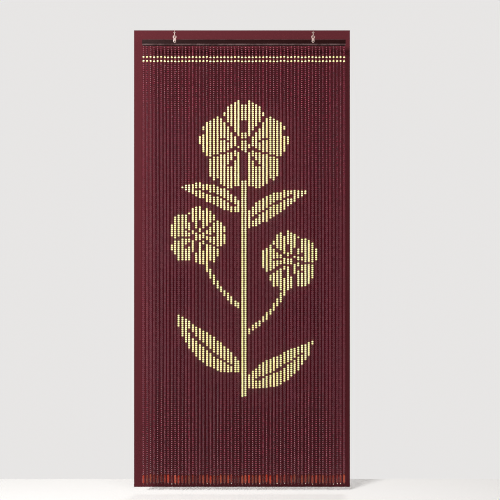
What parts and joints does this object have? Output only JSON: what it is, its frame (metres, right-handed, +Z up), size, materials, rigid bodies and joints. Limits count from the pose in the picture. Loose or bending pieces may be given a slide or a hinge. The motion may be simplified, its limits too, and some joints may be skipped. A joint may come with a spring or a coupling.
{
  "type": "bead curtain with its hanging rail and hooks",
  "caption": "Doorway curtain of straight bead strings under a slim wooden rail, hung by two eye plates from two cup hooks.",
  "frame": {"origin": "on the underside of the lintel, midway between the two cup hooks", "axes": "+Z up, +X along the rail to the viewer's right, and the front of the curtain faces -Y"},
  "size_m": [0.9, 0.0336, 2.0161],
  "materials": {
    "stained_wood": "dark stain, satin",
    "red_beads": "glossy lacquer",
    "pale_beads": "glossy lacquer",
    "end_beads": "glossy stained lacquer",
    "bead_cord": "thin twisted cord",
    "pale_enamel": "pale glossy coating",
    "dark_steel": "dull plated steel"
  },
  "bodies": {
    "root": {"rail": "stained_wood", "strings": "red_beads", "eye_plate_left": "pale_enamel", "eye_plate_right": "pale_enamel", "screw_left": "dark_steel", "screw_right": "dark_steel", "hook_left": "pale_enamel", "hook_right": "pale_enamel"}
  },
  "joints": []
}
